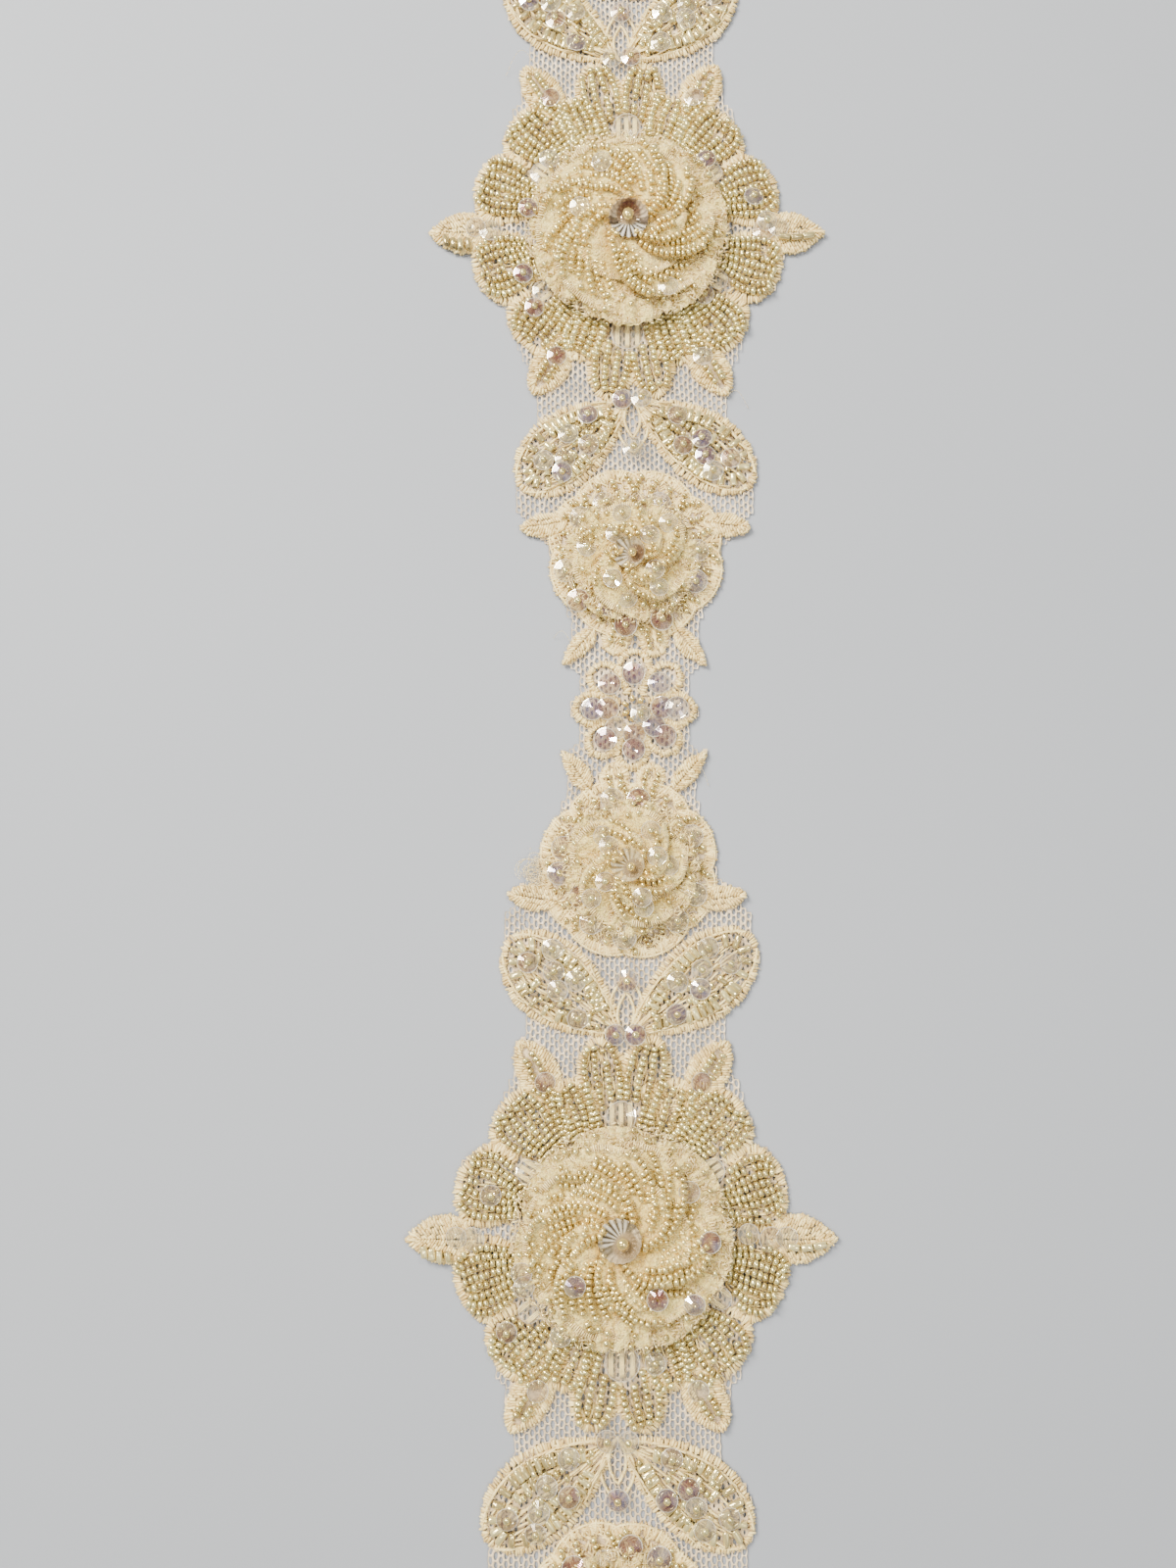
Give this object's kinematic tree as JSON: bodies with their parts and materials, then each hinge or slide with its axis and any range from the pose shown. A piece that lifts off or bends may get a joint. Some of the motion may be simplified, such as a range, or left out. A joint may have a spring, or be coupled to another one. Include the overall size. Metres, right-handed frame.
{
  "type": "beaded lace trim",
  "caption": "Cut length of beaded lace galloon: net with raised embroidered petals, wings and leaves, gathered cloth roses, cup sequins and beads, lying flat.",
  "frame": {"origin": "middle of the band's flat back, on the surface that it lies on", "axes": "+Y along the band, +Z out of its face, X across it"},
  "size_m": [0.078, 0.3646, 0.0089],
  "materials": {
    "lace_cloth": "cream net with cream satin stitch and cord, dull",
    "rose_cloth": "gathered cream organza with a soft fuzz, warm gold in its folds",
    "sequin": "clear film with a faint rainbow, very glossy",
    "bead": "silver-lined pale gold glass, glossy"
  },
  "bodies": {
    "root": {"big_rose_1_bead": "bead", "big_rose_1_cup": "sequin", "big_rose_1_frill": "rose_cloth", "big_rose_1_whorl": "rose_cloth", "big_rose_2_bead": "bead", "big_rose_2_cup": "sequin", "big_rose_2_frill": "rose_cloth", "big_rose_2_whorl": "rose_cloth", "daisy_middle": "sequin", "daisy_sequin_1": "sequin", "daisy_sequin_2": "sequin", "daisy_sequin_3": "sequin", "daisy_sequin_4": "sequin", "daisy_sequin_5": "sequin", "daisy_sequin_6": "sequin", "daisy_sequin_7": "sequin", "daisy_sequin_8": "sequin", "lace_band": "lace_cloth", "small_rose_1_bead": "bead", "small_rose_1_cup": "sequin", "small_rose_1_frill": "rose_cloth", "small_rose_1_whorl": "rose_cloth", "small_rose_2_bead": "bead", "small_rose_2_cup": "sequin", "small_rose_2_frill": "rose_cloth", "small_rose_2_whorl": "rose_cloth", "small_rose_3_bead": "bead", "small_rose_3_cup": "sequin", "small_rose_3_frill": "rose_cloth", "small_rose_3_whorl": "rose_cloth", "small_rose_4_bead": "bead", "small_rose_4_cup": "sequin", "small_rose_4_frill": "rose_cloth", "small_rose_4_whorl": "rose_cloth", "stem_sequin_1": "sequin", "stem_sequin_2": "sequin", "stem_sequin_3": "sequin", "stem_sequin_4": "sequin"}
  },
  "joints": []
}
